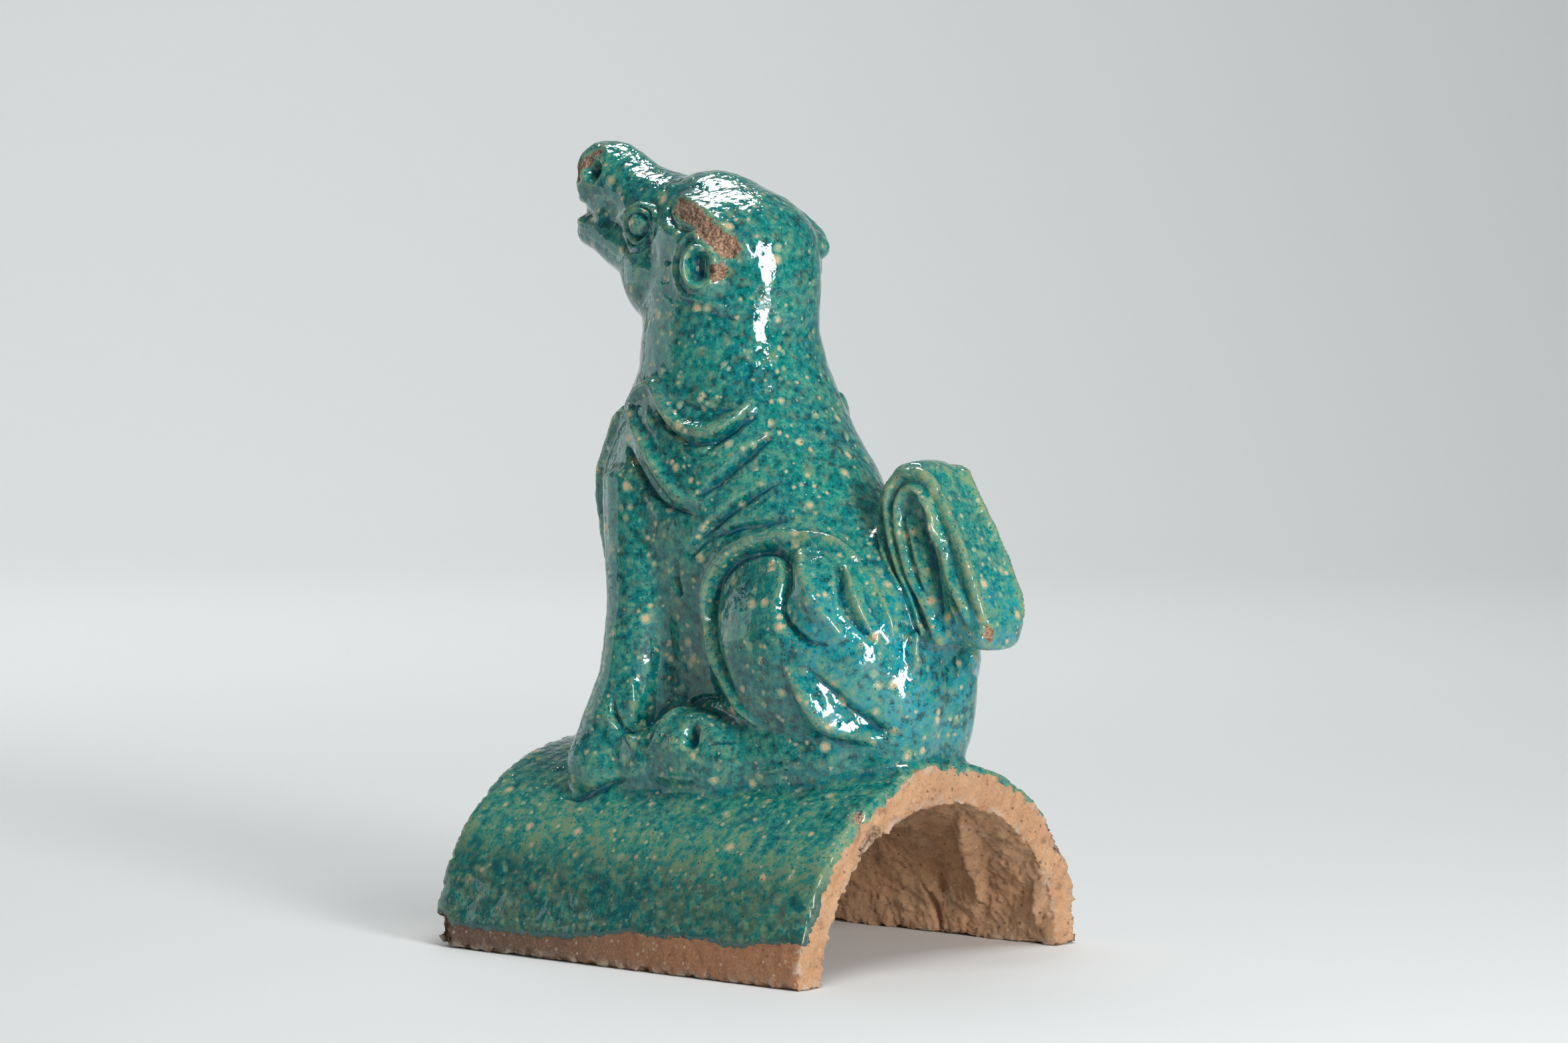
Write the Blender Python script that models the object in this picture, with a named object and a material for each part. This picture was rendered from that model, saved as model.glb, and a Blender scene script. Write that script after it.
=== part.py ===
"""A glazed ridge tile with a seated beast: one fired solid, modelled in metres, +Z up.

The tile is a half barrel that lies along Y, open at both ends and below. The beast sits on its
crown, faces -Y and looks up. Its left flank faces +X. The figure is drawn in millimetres at
FIGURE_DRAWN tall, measured from the tile's crown, and grows with BEAST_HEIGHT.
"""

import math

import bmesh
import bpy
import numpy as np
from mathutils import Euler, Matrix, Vector
from mathutils.bvhtree import BVHTree

# Driving dimensions of the tile.
TILE_LENGTH = 0.1766
TILE_WIDTH = 0.168
TILE_RISE = 0.0738
TILE_WALL = 0.015

# Driving dimensions of the beast.
BEAST_HEIGHT = 0.2262
BEAST_PLACE = 0.0
FIGURE_DRAWN = 226.2

# How far the middle of the ear flap stands out, in drawn millimetres: broken off short, and whole.
FLAP_STUB = 4
FLAP_WHOLE = 8

# The tile's middle lies this far in front of the origin, which is the middle of the whole outline.
TILE_MIDDLE = -0.0140

# How the solid is made.
FORM_VOXEL = 0.0017
FORM_SMOOTHING = 11
CARVING_SMOOTHING = 1
FACES_KEPT = 9800
BARREL_STEPS = 40
SAW_REACH = 0.03
END_SPARE = 0.006

GLAZE_COLOUR = (0.0, 0.16, 0.16, 1.0)
GLAZE_ROUGHNESS = 0.15

SCALE = BEAST_HEIGHT / FIGURE_DRAWN


def clear_scene():
    for obj in list(bpy.data.objects):
        bpy.data.objects.remove(obj, do_unlink=True)


def place(x, y, z):
    """A point of the figure: millimetres as drawn, z from the tile's crown."""
    return Vector((x * SCALE, y * SCALE + BEAST_PLACE, z * SCALE + TILE_RISE))


def barrel_height(x, half_width, rise):
    """Height of a half-elliptic barrel over its springing line at the distance x from its middle."""
    return rise * math.sqrt(max(0.0, 1.0 - (x / half_width) ** 2))


def on_tile(x, y, lift):
    """A point of the figure that is held by the tile's flank, lift millimetres above it."""
    point = place(x, y, 0.0)
    point.z = barrel_height(point.x, TILE_WIDTH / 2, TILE_RISE) + lift * SCALE
    return point


def add_rings(bm, rings):
    """Joins closed rings of points by quads and closes both ends."""
    rows = [[bm.verts.new(point) for point in ring] for ring in rings]
    count = len(rows[0])
    for low, high in zip(rows, rows[1:]):
        for i in range(count):
            j = (i + 1) % count
            bm.faces.new((low[i], low[j], high[j], high[i]))
    bm.faces.new(rows[0][::-1])
    bm.faces.new(rows[-1])


def add_ball(bm, centre, radii, turn=(0.0, 0.0, 0.0)):
    """An ellipsoid with radii in drawn millimetres, turned by degrees about X, Y and Z."""
    angles = Euler([math.radians(a) for a in turn])
    sizes = Matrix.Diagonal([r * SCALE for r in radii]).to_4x4()
    matrix = Matrix.Translation(centre) @ angles.to_matrix().to_4x4() @ sizes
    bmesh.ops.create_icosphere(bm, subdivisions=4, radius=1.0, matrix=matrix)


def add_stack(bm, levels, sides=40):
    """A body from level sections with super-elliptic outlines."""
    rings = []
    for z, middle, half_width, half_depth, corner in levels:
        ring = []
        for i in range(sides):
            angle = 2 * math.pi * i / sides
            c, s = math.cos(angle), math.sin(angle)
            x = half_width * math.copysign(abs(c) ** (2 / corner), c)
            y = middle + half_depth * math.copysign(abs(s) ** (2 / corner), s)
            ring.append(place(x, y, z))
        rings.append(ring)
    add_rings(bm, rings)


def add_limb(bm, joints, sides=20):
    """A round limb through joints (point, radius across, radius along), turned square to its path."""
    points = [joint[0] for joint in joints]
    rings = []
    for i, (point, across, along) in enumerate(joints):
        path = (points[min(i + 1, len(points) - 1)] - points[max(i - 1, 0)]).normalized()
        side = Vector((1.0, 0.0, 0.0))
        side = (side - path * side.dot(path)).normalized()
        deep = path.cross(side)
        ring = []
        for k in range(sides):
            angle = 2 * math.pi * k / sides
            offset = side * math.cos(angle) * across + deep * math.sin(angle) * along
            ring.append(point + offset * SCALE)
        rings.append(ring)
    add_rings(bm, rings)


# Level sections of the body: z, middle in y, half width, half depth and squareness.
TORSO = (
    (-14, 20, 31, 60, 2.4),
    (-2, 20, 34, 66, 2.6),
    (6, 19, 33, 65, 2.8),
    (14, 18, 33, 65, 2.8),
    (28, 18, 34, 68, 2.6),
    (42, 16, 37, 72, 2.4),
    (56, 11.5, 40, 72, 2.2),
    (76, 3.2, 42, 67.5, 2.1),
    (93, -6.7, 42, 60.5, 2.1),
    (104, -9.7, 41, 56.5, 2.1),
    (116, -11.5, 39.5, 48.7, 2.1),
    (126, -12.5, 38, 43.2, 2.1),
    (141, -13, 34.5, 36.5, 2.0),
    (155, -15, 32.5, 33.5, 2.0),
    (168, -14, 31, 34, 2.0),
    (180, -13, 29.5, 34, 2.0),
    (188, -14, 26, 31, 2.0),
)


def add_torso(bm):
    add_stack(bm, TORSO)


def add_head(bm):
    add_ball(bm, place(0, -13, 187), (29, 34, 24), turn=(-12, 0, 0))
    add_ball(bm, place(0, -20, 196), (20, 25, 19), turn=(-14, 0, 0))
    add_ball(bm, place(0, -37, 176), (25, 25, 22), turn=(-30, 0, 0))
    snout = (
        (place(0, -18, 192), 24, 22),
        (place(0, -42, 198), 19, 16),
        (place(0, -59, 205), 14, 13.5),
        (place(0, -73, 213), 12, 14.2),
        (place(0, -84.5, 214.7), 11, 12.2),
    )
    add_limb(bm, snout)
    jaw = (
        (place(0, -22, 172), 24, 20),
        (place(0, -46, 181), 20, 15),
        (place(0, -63, 188), 15, 11.5),
        (place(0, -77, 193), 11.5, 8.8),
        (place(0, -85, 193.8), 9, 6.8),
    )
    add_limb(bm, jaw)
    add_ball(bm, place(0, -71, 200), (12, 11, 9))
    for side in (-1, 1):
        add_ball(bm, place(side * 14, -45, 196), (8, 9, 9))


def add_ear(bm, side):
    """A short round cup on the side of the head, and the flap over it: broken off short on the left."""
    add_ball(bm, place(side * 26, -4, 180), (13, 8.5, 11))
    proud = FLAP_STUB if side == 1 else FLAP_WHOLE
    flap = (
        (place(side * (14 + proud), -23, 203), 5, 5),
        (place(side * (19 + proud), -9, 198), 6, 5),
        (place(side * (19.5 + proud), 1, 191), 6, 5),
        (place(side * (14 + proud), 11, 185.5), 4, 4),
    )
    add_limb(bm, flap)


def add_flank(bm, side):
    """Limbs and feet of one flank: side is 1 for the left and -1 for the right."""
    foreleg = (
        (place(side * 26, -33, 102), 16, 18),
        (place(side * 30, -31, 78), 14, 16),
        (place(side * 34, -29.5, 52), 12, 13),
        (place(side * 37, -31.5, 28), 11, 12),
        (place(side * 41, -36.5, 8), 11, 13.5),
        (on_tile(side * 44, -39, 7), 11, 14),
    )
    add_limb(bm, foreleg)
    add_ball(bm, on_tile(side * 47, -38, 6), (10.5, 14, 12), turn=(0, side * 25, 0))
    add_ball(bm, place(side * 22, -20, 20), (13, 27, 55))
    add_ball(bm, place(side * 24, 41, 43), (26, 38, 41), turn=(-8, 0, 0))
    add_ball(bm, place(side * 20, 50, 37), (27, 33, 37), turn=(-8, 0, 0))
    add_ball(bm, place(side * 13, 58, 38), (27, 27, 35), turn=(-14, 0, 0))
    add_ball(bm, place(side * 20, 29, 2), (24, 44, 27))
    add_ball(bm, place(side * 9, 66, 25), (24, 23.5, 41))
    add_ball(bm, on_tile(side * 40, -18, 2), (12, 18, 17), turn=(0, side * 25, 0))
    add_ball(bm, on_tile(side * 37, 4, 4), (15, 28, 22), turn=(0, side * 25, 0))


# Side outline of the tail, in y and z.
TAIL_OUTLINE = (
    (60, 48), (114, 43), (117, 53), (104, 80), (93, 98),
    (87, 107.5), (80, 111), (72, 109), (66, 98), (62, 70),
)


def add_tail(bm):
    """A flat upright tail behind the rump, rounded at the top and cut off below."""
    middle = Vector((86, 80))
    rings = []
    for x, shrink in ((-12, 2.5), (-10, 0.6), (0, 0), (10, 0.6), (12, 2.5)):
        ring = []
        for y, z in TAIL_OUTLINE:
            away = Vector((y, z)) - middle
            y, z = middle + away * (1 - shrink / away.length)
            ring.append(place(x, y, z))
        rings.append(ring)
    add_rings(bm, rings)


def add_barrel(bm, half_width, rise, half_length, drop):
    """A solid half barrel along Y with straight sides that go on for drop below its springing."""
    outline = [(half_width, -drop)]
    for i in range(1, BARREL_STEPS):
        angle = math.pi * i / BARREL_STEPS
        outline.append((half_width * math.cos(angle), rise * math.sin(angle)))
    outline.append((-half_width, -drop))
    add_rings(bm, [[Vector((x, y, z)) for x, z in outline] for y in (-half_length, half_length)])


def object_from(bm, name):
    bmesh.ops.recalc_face_normals(bm, faces=bm.faces)
    mesh = bpy.data.meshes.new(name)
    bm.to_mesh(mesh)
    bm.free()
    obj = bpy.data.objects.new(name, mesh)
    bpy.context.scene.collection.objects.link(obj)
    return obj


def fused_form():
    """The figure and the tile as one smooth closed skin, before the carving."""
    bm = bmesh.new()
    add_torso(bm)
    add_head(bm)
    for side in (-1, 1):
        add_flank(bm, side)
        add_ear(bm, side)
    add_tail(bm)
    add_barrel(bm, TILE_WIDTH / 2, TILE_RISE, TILE_LENGTH / 2 + END_SPARE, END_SPARE)
    obj = object_from(bm, "ridge_beast_tile")
    remesh = obj.modifiers.new("fuse", "REMESH")
    remesh.mode = "VOXEL"
    remesh.voxel_size = FORM_VOXEL
    smooth = obj.modifiers.new("soften", "SMOOTH")
    smooth.iterations = FORM_SMOOTHING
    apply_modifiers(obj)
    obj.data.shade_smooth()
    return obj


def apply_modifiers(obj):
    graph = bpy.context.evaluated_depsgraph_get()
    mesh = bpy.data.meshes.new_from_object(obj.evaluated_get(graph))
    obj.modifiers.clear()
    old = obj.data
    obj.data = mesh
    bpy.data.meshes.remove(old)


def ring(x, y, z, radius, steps=10):
    """A closed path around a spot of the flank, seen from the side."""
    turns = [2 * math.pi * i / steps for i in range(steps + 1)]
    return tuple((x, y + radius * math.cos(turn), z + radius * math.sin(turn)) for turn in turns)


# Carving: brush radius, height over the skin and the path's points on the left
# flank, in drawn millimetres. The right flank mirrors them.
STROKES = {
    "haunch rim": (4.0, 3.8, (
        (44, 34, 14), (47, 22, 28), (45, 13, 40), (42, 8, 52), (42, 9, 63), (42, 15, 72), (41, 24, 79),
        (38, 36, 83),
        (33, 47, 83), (28, 58, 80), (24, 68, 74))),
    "haunch groove": (3.4, -3.6, (
        (45, 31, 19), (46, 22, 31), (43, 15, 44), (39, 12, 55), (38, 15, 66), (37, 22, 73), (36, 31, 76),
        (36, 40, 75.5), (40, 47, 72), (44, 50, 65), (45, 49, 57), (45, 54, 50), (44, 60, 46),
        (42, 67, 45))),
    "haunch lobe": (10.0, 6.0, ((36, 54, 77), (40, 59, 70), (41, 64, 62), (40, 70, 55), (38, 75, 50))),
    "second groove": (3.0, -3.8, (
        (33, 61, 75), (33, 65, 69), (36, 68, 62), (36, 72, 56), (34, 77, 51), (32, 81, 47))),
    "second bead": (2.6, 2.2, ((31, 66, 73), (34, 71, 66), (35, 77, 58), (33, 81, 51))),
    "shin": (7.0, 4.4, (
        (49, 54, 36), (48, 58, 28), (45, 61, 21), (41, 65, 15), (34, 70, 12), (29, 77, 11))),
    "under thigh": (4.8, -3.2, ((46, 61, 36), (42, 68, 28), (35, 73, 20), (28, 80, 14), (22, 85, 12))),
    "hind foot rim": (4.5, 1.8, (
        (51, -10, 2), (51, -6, 8), (46, -4, 14), (38, -2, 18), (36, 6, 20), (38, 14, 20), (44, 24, 18))),
    "hind toe pit": (4.0, -5.0, ((51, 10, 10), (52, 11, 6))),
    "hind toe slit": (2.2, -2.2, ((50, 18, 6.5), (48, 22.5, 7.4), (45, 27, 7.5))),
    "fetlock": (6.0, 3.8, ((46, -23.5, 26), (46.5, -22.5, 19), (45, -22.5, 12.5))),
    "ankle": (2.8, -3.4, (
        (49, -30, 20.5), (49, -29, 14), (47.5, -26, 8.5), (46, -21, 6.5), (44, -17, 9), (40, -17, 16))),
    "paw groove": (3.0, -2.8, ((55, -50, -17.5), (56, -37, -15.6), (54, -28.5, -12.8), (52, -22, -9.5))),
    "upper ribbon": (4.2, 3.2, (
        (29, -42, 127), (33, -31, 134), (37, -24, 136), (39, -20, 133), (40, -16, 129), (41, -11, 124),
        (42, -4, 121), (41, 4, 120.5), (38, 10, 122), (33, 15.5, 126), (25, 18, 132))),
    "under upper ribbon": (2.6, -2.8, (
        (40, -19, 128), (42, -13, 122), (41.5, -6, 117), (40, 1, 115.5), (38, 7, 116.5), (35, 13, 120.5),
        (29, 18, 126))),
    "lower ribbon": (4.0, 3.2, (
        (33, -37, 128), (37, -31, 121), (41, -24, 114), (43.5, -18, 108), (44, -12, 102), (43.5, -5, 96.5),
        (42, 1, 94.5), (41, 7, 93.5))),
    "under lower ribbon": (2.6, -2.8, (
        (36, -34, 113), (38, -27, 106), (40, -19, 98), (42, -12, 92.5), (44, -4, 90.5), (42, 3, 89.5))),
    "lock": (2.4, 1.6, ((36.5, -24, 127), (38.5, -21, 122.5), (39, -17, 118))),
    "neck groove": (3.0, -2.6, ((39, 4, 110.5), (35, 8, 115), (31, 14, 120), (25, 20, 127))),
    "shoulder groove": (3.8, -4.2, (
        (41, 4, 96), (38.5, 10, 100), (34, 16, 106), (29, 21, 112), (24, 26, 118))),
    "flank groove": (3.6, -4.0, ((42, 3, 79), (41, 12, 86), (38, 18, 91), (33, 25, 96.5), (27, 32, 101))),
    "over haunch": (2.8, -2.6, ((42, 2, 74), (40, 9, 80), (41, 22, 85), (38, 31, 87), (30, 42, 90))),
    "recess": (5.5, -5.5, ((40, -6, 71), (41, -7, 66), (40, -5, 60))),
    "chest rim": (3.2, 3.2, (
        (27, -44, 127), (22, -52, 118), (20.5, -60, 100), (20, -63, 84), (26, -56, 64), (34, -47, 44),
        (39, -44, 24))),
    "chest groove": (2.6, -2.2, (
        (30, -38, 122), (27, -48, 112), (26, -57, 96), (28, -55, 78), (34, -47, 58), (40, -42, 36))),
    "tail outer bead": (2.9, 2.7, (
        (20, 92, 35), (18, 91, 44), (15, 87, 53), (13, 82, 61), (12, 77, 71), (12, 73, 83), (12, 71, 93),
        (12, 72, 100), (12, 76, 105), (12, 83, 106.5), (12, 90, 105), (12, 96, 101), (12, 101, 92),
        (12, 104, 83),
        (12, 107, 75), (12, 111, 64), (12, 115, 55))),
    "tail inner bead": (2.9, 2.7, (
        (19, 96, 36), (17, 95, 45), (14, 91, 55), (12, 85, 64), (12, 81, 71), (12, 78, 80), (12, 76, 87),
        (12, 76, 95), (12, 79, 100), (12, 84, 101.5), (12, 89, 100), (12, 93, 96), (12, 95, 90),
        (12, 98, 81),
        (12, 101, 69), (12, 105, 61), (12, 108, 53))),
    "tail hollow": (3.4, -2.8, ((12, 86, 92), (12, 89, 82), (12, 92, 70), (12, 96, 56))),
    "eye groove": (2.2, -1.8, ring(22, -43.6, 195, 5.2)),
    "eye rim": (2.4, 2.0, ring(21, -43.6, 195, 8.2)),
    "nostril": (4.8, -5.2, ((11.5, -72.6, 215.5),)),
    "ear hole": (5.4, -10.5, ((37, 0.3, 176.5), (37.5, 0.3, 180), (36.5, -0.5, 183.5))),
    "ear shell": (2.4, 1.8, (
        (29, -3, 193), (29.5, -11, 191.5), (30, -17.5, 182), (32, -13, 171), (33, -2, 166.5),
        (28, 6, 166))),
    "brow": (2.8, -2.2, (
        (19, -29, 203), (22, -25, 198.5), (24.5, -21, 195), (27.5, -15, 193.5), (28.5, -8, 193.5))),
    "mouth": (2.6, -1.8, ((5, -86, 200.3), (9, -79, 199.8), (12, -74, 198.5))),
}
CARVE_STEP = 0.0012
END_TAPER = 3.0
END_SIZE = 0.35


def curve_through(points):
    """Points at about CARVE_STEP along a smooth curve through the given ones."""
    if len(points) == 1:
        return list(points)
    found = []
    for i in range(len(points) - 1):
        before, start = points[max(i - 1, 0)], points[i]
        end, after = points[i + 1], points[min(i + 2, len(points) - 1)]
        count = max(1, round((end - start).length / CARVE_STEP))
        for k in range(count):
            t = k / count
            found.append(0.5 * (
                2 * start + (end - before) * t + (2 * before - 5 * start + 4 * end - after) * t * t
                + (3 * start - before - 3 * end + after) * t ** 3))
    found.append(points[-1])
    return found


def carve(obj):
    """Raises or sinks the skin along each stroke, most at its path and none at its brush radius."""
    mesh = obj.data
    skin = BVHTree.FromObject(obj, bpy.context.evaluated_depsgraph_get())
    spots = np.empty(len(mesh.vertices) * 3)
    mesh.vertices.foreach_get("co", spots)
    spots = spots.reshape(-1, 3)
    outward = np.empty(len(mesh.vertices) * 3)
    mesh.vertex_normals.foreach_get("vector", outward)
    push = np.zeros(len(spots))
    for radius, height, path in STROKES.values():
        for side in (-1, 1):
            line = curve_through([place(side * x, y, z) for x, y, z in path])
            share = np.ones(len(spots))
            size = np.ones(len(spots))
            for i, point in enumerate(line):
                on_skin = np.array(skin.find_nearest(point)[0])
                end = min(i, len(line) - 1 - i) * CARVE_STEP
                full = min(1.0, END_SIZE + (1 - END_SIZE) * end / (END_TAPER * radius * SCALE))
                if len(line) == 1:
                    full = 1.0
                away = np.sqrt(((spots - on_skin) ** 2).sum(axis=1)) / (radius * SCALE * full)
                nearer = away < share
                share[nearer] = away[nearer]
                size[nearer] = full
            push += height * SCALE * size * (0.5 + 0.5 * np.cos(math.pi * share))
    spots += outward.reshape(-1, 3) * push[:, None]
    mesh.vertices.foreach_set("co", spots.ravel())
    mesh.update()


def add_cutter(obj, cutter):
    cutter.hide_render = True
    cutter.display_type = "WIRE"
    cut = obj.modifiers.new(cutter.name, "BOOLEAN")
    cut.operation = "DIFFERENCE"
    cut.solver = "EXACT"
    cut.object = cutter


def box_cutter(name, low, high):
    bm = bmesh.new()
    corners = [Vector(low), Vector(high)]
    middle = (corners[0] + corners[1]) / 2
    size = corners[1] - corners[0]
    bmesh.ops.create_cube(bm, size=1.0, matrix=Matrix.Translation(middle) @ Matrix.Diagonal(size).to_4x4())
    return object_from(bm, name)


def cut_tile(obj):
    """Hollows the tile and saws its ends and its long edges flat."""
    wide = TILE_WIDTH / 2 + SAW_REACH
    long = TILE_LENGTH / 2 + SAW_REACH
    end = TILE_LENGTH / 2
    top = TILE_RISE + END_SPARE
    add_cutter(obj, box_cutter("bed", (-wide, -long, -SAW_REACH), (wide, long, 0.0)))
    add_cutter(obj, box_cutter("front_end", (-wide, -long, -SAW_REACH), (wide, -end, top)))
    add_cutter(obj, box_cutter("rear_end", (-wide, end, -SAW_REACH), (wide, long, top)))
    bm = bmesh.new()
    hollow_width, hollow_rise = TILE_WIDTH / 2 - TILE_WALL, TILE_RISE - TILE_WALL
    add_barrel(bm, hollow_width, hollow_rise, long, SAW_REACH)
    hollow = object_from(bm, "hollow")
    hollow.data.shade_smooth()
    add_cutter(obj, hollow)


def glaze():
    material = bpy.data.materials.new("glaze")
    material.use_nodes = True
    shader = material.node_tree.nodes["Principled BSDF"]
    shader.inputs["Base Color"].default_value = GLAZE_COLOUR
    shader.inputs["Roughness"].default_value = GLAZE_ROUGHNESS
    return material


def main():
    clear_scene()
    obj = fused_form()
    obj.data.materials.append(glaze())
    carve(obj)
    faces = len(obj.data.polygons) * 2
    soften = obj.modifiers.new("soften", "SMOOTH")
    soften.iterations = CARVING_SMOOTHING
    reduce = obj.modifiers.new("reduce", "DECIMATE")
    reduce.ratio = FACES_KEPT / faces
    cut_tile(obj)
    for piece in bpy.data.objects:
        piece.location.y = TILE_MIDDLE


main()
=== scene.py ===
"""Looks of a glazed ridge tile with a seated beast: fine relief, glaze, clay, floor, light and camera."""

import math

import bmesh
import bpy
import numpy as np
from mathutils import Euler, Matrix, Vector
from mathutils.bvhtree import BVHTree
from mathutils.kdtree import KDTree

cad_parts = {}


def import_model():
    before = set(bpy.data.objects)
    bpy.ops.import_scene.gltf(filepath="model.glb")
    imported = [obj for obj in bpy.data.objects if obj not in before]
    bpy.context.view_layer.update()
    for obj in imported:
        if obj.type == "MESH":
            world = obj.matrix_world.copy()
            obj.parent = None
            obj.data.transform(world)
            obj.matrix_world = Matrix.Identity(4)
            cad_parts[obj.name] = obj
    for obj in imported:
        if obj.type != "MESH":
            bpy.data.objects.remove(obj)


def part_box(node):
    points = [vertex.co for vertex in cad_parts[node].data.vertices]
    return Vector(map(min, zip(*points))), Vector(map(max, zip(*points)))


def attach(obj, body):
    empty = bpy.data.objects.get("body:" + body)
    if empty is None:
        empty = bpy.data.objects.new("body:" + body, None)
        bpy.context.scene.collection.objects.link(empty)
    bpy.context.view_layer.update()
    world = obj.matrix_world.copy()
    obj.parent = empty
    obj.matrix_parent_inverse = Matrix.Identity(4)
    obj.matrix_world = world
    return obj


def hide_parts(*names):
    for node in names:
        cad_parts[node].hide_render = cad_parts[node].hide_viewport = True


NODE = "ridge_beast_tile"

# The figure is drawn in millimetres from the tile's crown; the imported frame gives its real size.
DRAWN_TILE_LENGTH = 176.6
DRAWN_TILE_WIDTH = 168.0
DRAWN_TILE_RISE = 73.8
DRAWN_TILE_WALL = 15.0
MM = 0.001

# How far the ear flaps stand out: the left one is broken off short.
FLAP_STUB = 4
FLAP_WHOLE = 8

# Voxels in millimetres and rounds of smoothing, for the fused form and for the fine skin.
FORM_VOXEL = 1.7
FORM_SMOOTHING = 11
FINE_VOXEL = 0.8
FINE_SMOOTHING = 4
TRIANGLES_KEPT = 190000
BARREL_STEPS = 60
# How far the saws go past the tile, and how far the raw tile goes past its finished ends.
SAW_REACH = 30.0
END_SPARE = 6.0


def place(x, y, z):
    """A point of the figure in millimetres over the tile's springing, from one drawn over its crown."""
    return Vector((x, y, z + DRAWN_TILE_RISE))


def on_tile(x, y, lift):
    """A point held by the tile's flank, lift millimetres above it."""
    share = min(1.0, abs(x) / (DRAWN_TILE_WIDTH / 2))
    return Vector((x, y, DRAWN_TILE_RISE * math.sqrt(1.0 - share ** 2) + lift))


def add_rings(bm, rings):
    """A closed skin over rings of equally many points."""
    rows = [[bm.verts.new(point) for point in ring] for ring in rings]
    count = len(rows[0])
    for low, high in zip(rows, rows[1:]):
        for i in range(count):
            j = (i + 1) % count
            bm.faces.new((low[i], low[j], high[j], high[i]))
    bm.faces.new(rows[0][::-1])
    bm.faces.new(rows[-1])


def add_ball(bm, centre, radii, turn=(0.0, 0.0, 0.0)):
    angles = Euler([math.radians(a) for a in turn])
    matrix = Matrix.Translation(centre) @ angles.to_matrix().to_4x4() @ Matrix.Diagonal(radii).to_4x4()
    bmesh.ops.create_icosphere(bm, subdivisions=4, radius=1.0, matrix=matrix)


def add_stack(bm, levels, sides=48):
    """A body from level sections with super-elliptic outlines."""
    rings = []
    for z, middle, half_width, half_depth, corner in levels:
        ring = []
        for i in range(sides):
            angle = 2 * math.pi * i / sides
            c, s = math.cos(angle), math.sin(angle)
            x = half_width * math.copysign(abs(c) ** (2 / corner), c)
            y = middle + half_depth * math.copysign(abs(s) ** (2 / corner), s)
            ring.append(place(x, y, z))
        rings.append(ring)
    add_rings(bm, rings)


def add_limb(bm, joints, sides=24):
    """A round limb through joints (point, radius across, radius along), turned square to its path."""
    points = [joint[0] for joint in joints]
    rings = []
    for i, (point, across, along) in enumerate(joints):
        path = (points[min(i + 1, len(points) - 1)] - points[max(i - 1, 0)]).normalized()
        side = Vector((1.0, 0.0, 0.0))
        side = (side - path * side.dot(path)).normalized()
        deep = path.cross(side)
        ring = []
        for k in range(sides):
            angle = 2 * math.pi * k / sides
            ring.append(point + side * math.cos(angle) * across + deep * math.sin(angle) * along)
        rings.append(ring)
    add_rings(bm, rings)


# Level sections of the body: z, middle in y, half width, half depth and squareness.
TORSO = (
    (-14, 20, 31, 60, 2.4),
    (-2, 20, 34, 66, 2.6),
    (6, 19, 33, 65, 2.8),
    (14, 18, 33, 65, 2.8),
    (28, 18, 34, 68, 2.6),
    (42, 16, 37, 72, 2.4),
    (56, 11.5, 40, 72, 2.2),
    (76, 3.2, 42, 67.5, 2.1),
    (93, -6.7, 42, 60.5, 2.1),
    (104, -9.7, 41, 56.5, 2.1),
    (116, -11.5, 39.5, 48.7, 2.1),
    (126, -12.5, 38, 43.2, 2.1),
    (141, -13, 34.5, 36.5, 2.0),
    (155, -15, 32.5, 33.5, 2.0),
    (168, -14, 31, 34, 2.0),
    (180, -13, 29.5, 34, 2.0),
    (188, -14, 26, 31, 2.0),
)

# Side outline of the tail, in y and z.
TAIL_OUTLINE = (
    (60, 48), (114, 43), (117, 53), (104, 80), (93, 98),
    (87, 107.5), (80, 111), (72, 109), (66, 98), (62, 70),
)
# A point inside that outline, and how far the outline shrinks towards it at each x across the tail.
TAIL_MIDDLE = Vector((86, 80))
TAIL_ROUNDING = ((-12, 2.5), (-10, 0.6), (0, 0), (10, 0.6), (12, 2.5))


def add_head(bm):
    add_ball(bm, place(0, -13, 187), (29, 34, 24), turn=(-12, 0, 0))
    add_ball(bm, place(0, -20, 196), (20, 25, 19), turn=(-14, 0, 0))
    add_ball(bm, place(0, -37, 176), (25, 25, 22), turn=(-30, 0, 0))
    add_limb(bm, (
        (place(0, -18, 192), 24, 22),
        (place(0, -42, 198), 19, 16),
        (place(0, -59, 205), 14, 13.5),
        (place(0, -73, 213), 12, 14.2),
        (place(0, -84.5, 214.7), 11, 12.2),
    ))
    add_limb(bm, (
        (place(0, -22, 172), 24, 20),
        (place(0, -46, 181), 20, 15),
        (place(0, -63, 188), 15, 11.5),
        (place(0, -77, 193), 11.5, 8.8),
        (place(0, -85, 193.8), 9, 6.8),
    ))
    add_ball(bm, place(0, -71, 200), (12, 11, 9))
    for side in (-1, 1):
        add_ball(bm, place(side * 14, -45, 196), (8, 9, 9))


def add_ear(bm, side):
    add_ball(bm, place(side * 26, -4, 180), (13, 8.5, 11))
    proud = FLAP_STUB if side == 1 else FLAP_WHOLE
    add_limb(bm, (
        (place(side * (14 + proud), -23, 203), 5, 5),
        (place(side * (19 + proud), -9, 198), 6, 5),
        (place(side * (19.5 + proud), 1, 191), 6, 5),
        (place(side * (14 + proud), 11, 185.5), 4, 4),
    ))


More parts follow.
